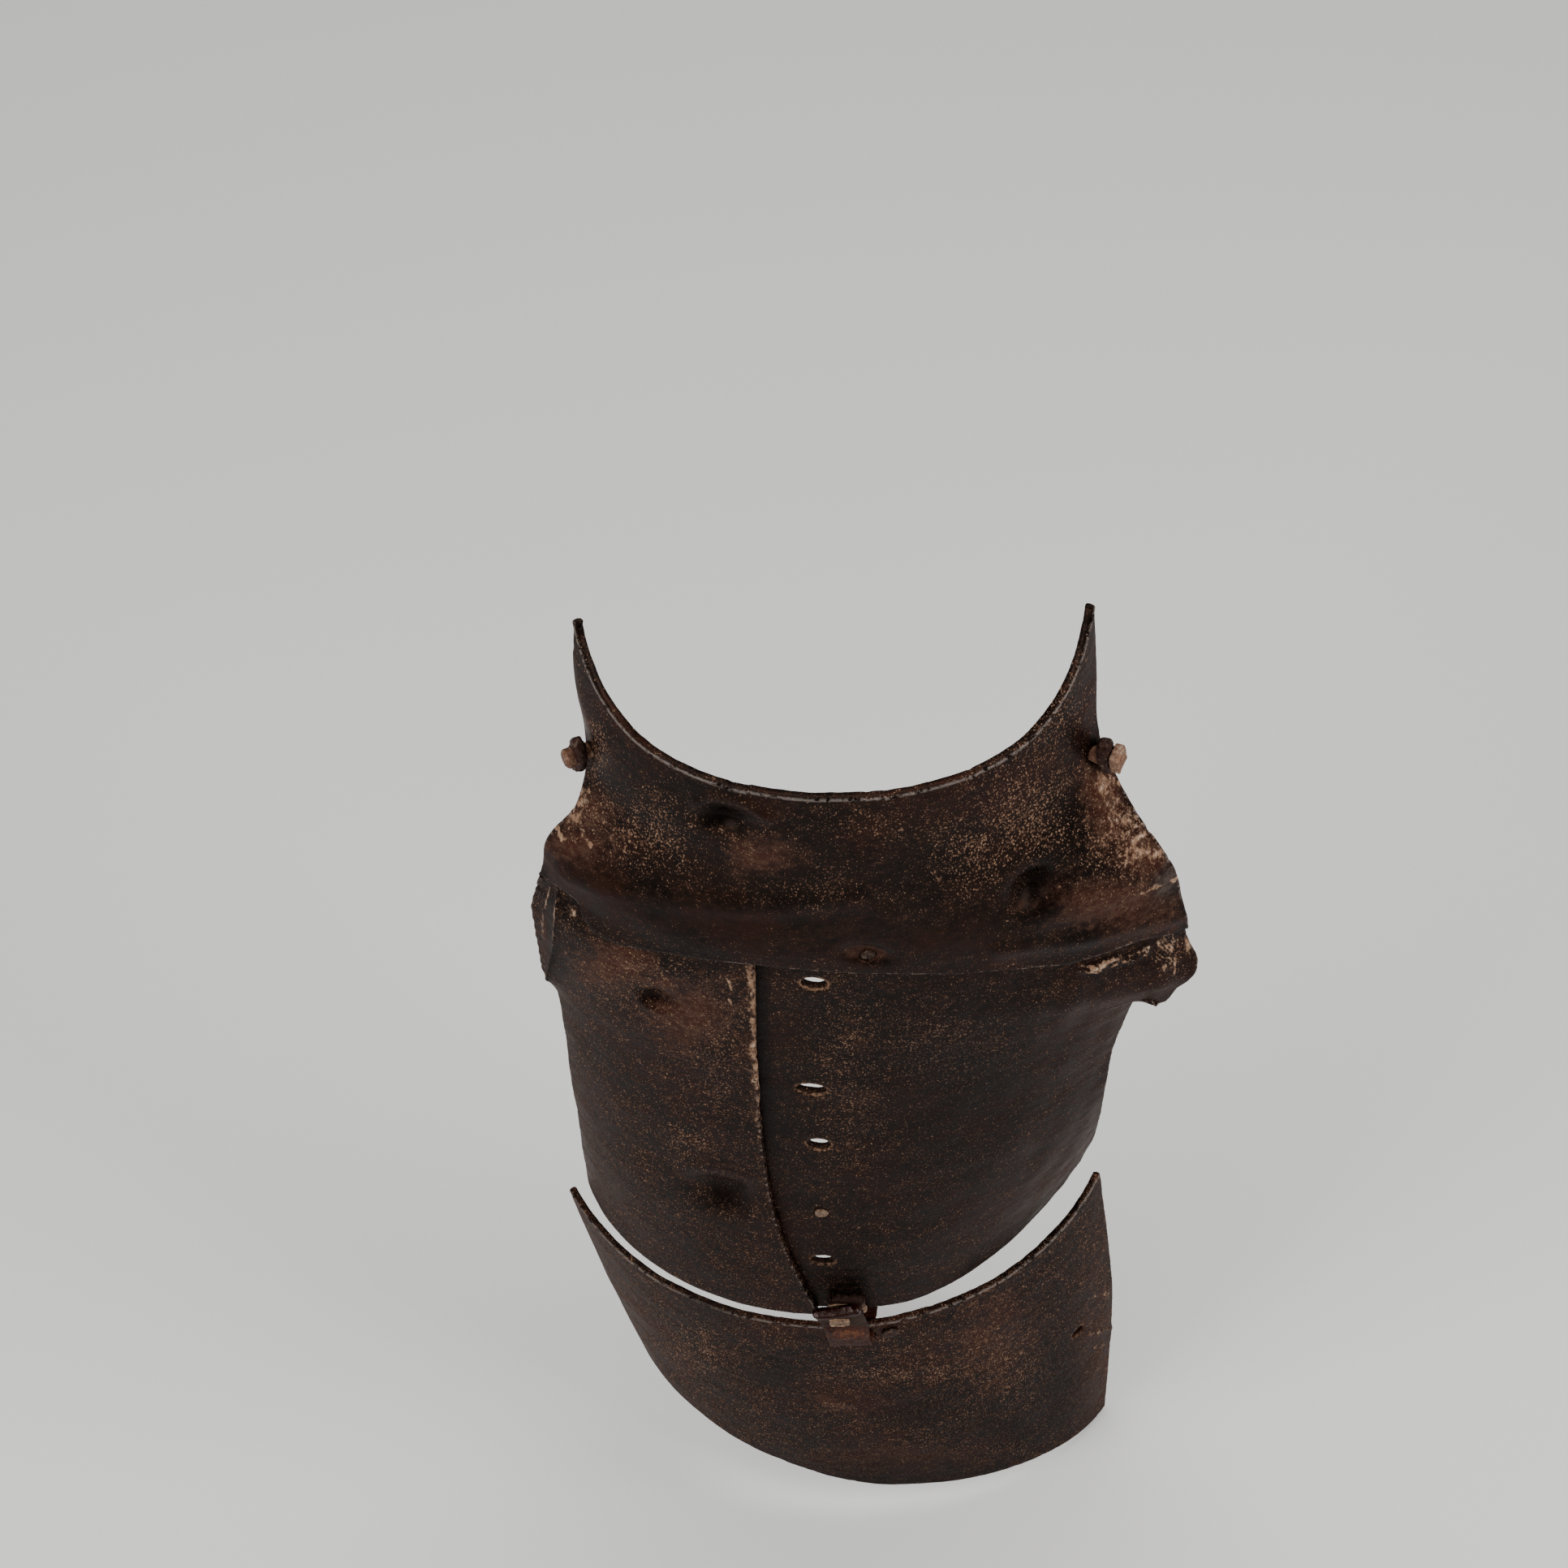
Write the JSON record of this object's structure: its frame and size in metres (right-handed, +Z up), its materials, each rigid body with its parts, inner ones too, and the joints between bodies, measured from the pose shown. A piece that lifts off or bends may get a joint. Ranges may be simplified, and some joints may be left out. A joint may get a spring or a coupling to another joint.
{
  "type": "steel breastplate",
  "caption": "Breastplate of bent, lapped steel plates with a raised collar, and an apron plate that hangs from a hook at the waist.",
  "frame": {"origin": "midway between the two shoulder bolts, on the collar's outer face at each bolt", "axes": "+Z up as worn, the front of the breastplate faces -Y, +X is the viewer's right"},
  "size_m": [0.349, 0.1136, 0.8919],
  "materials": {
    "plate_iron": "burnished dark brown steel with rust mottling, pits and worn bright rims",
    "rusted_iron": "rough red-brown rust"
  },
  "bodies": {
    "breastplate": {"neck_plate": "plate_iron", "left_plate": "plate_iron", "right_plate": "plate_iron", "body_rivet": "rusted_iron", "centre_bolt": "rusted_iron", "hook_pad": "rusted_iron", "hook_rivet": "rusted_iron", "hook_strap": "rusted_iron", "neck_rivet": "rusted_iron", "seam_rivet_lower": "rusted_iron", "seam_rivet_upper": "rusted_iron", "shoulder_bolt_left": "rusted_iron", "shoulder_bolt_right": "rusted_iron", "shoulder_nut_right": "rusted_iron", "shoulder_washer_left": "rusted_iron", "shoulder_washer_right": "rusted_iron"},
    "apron": {"apron_plate": "plate_iron", "apron_bolt": "rusted_iron"}
  },
  "joints": [
    {"name": "apron_swing", "type": "hinge", "parent": "breastplate", "child": "apron", "pos_m": [0.009, -0.06778, -0.5335], "axis": [1, 0, 0], "range_deg": [0, 8]}
  ]
}
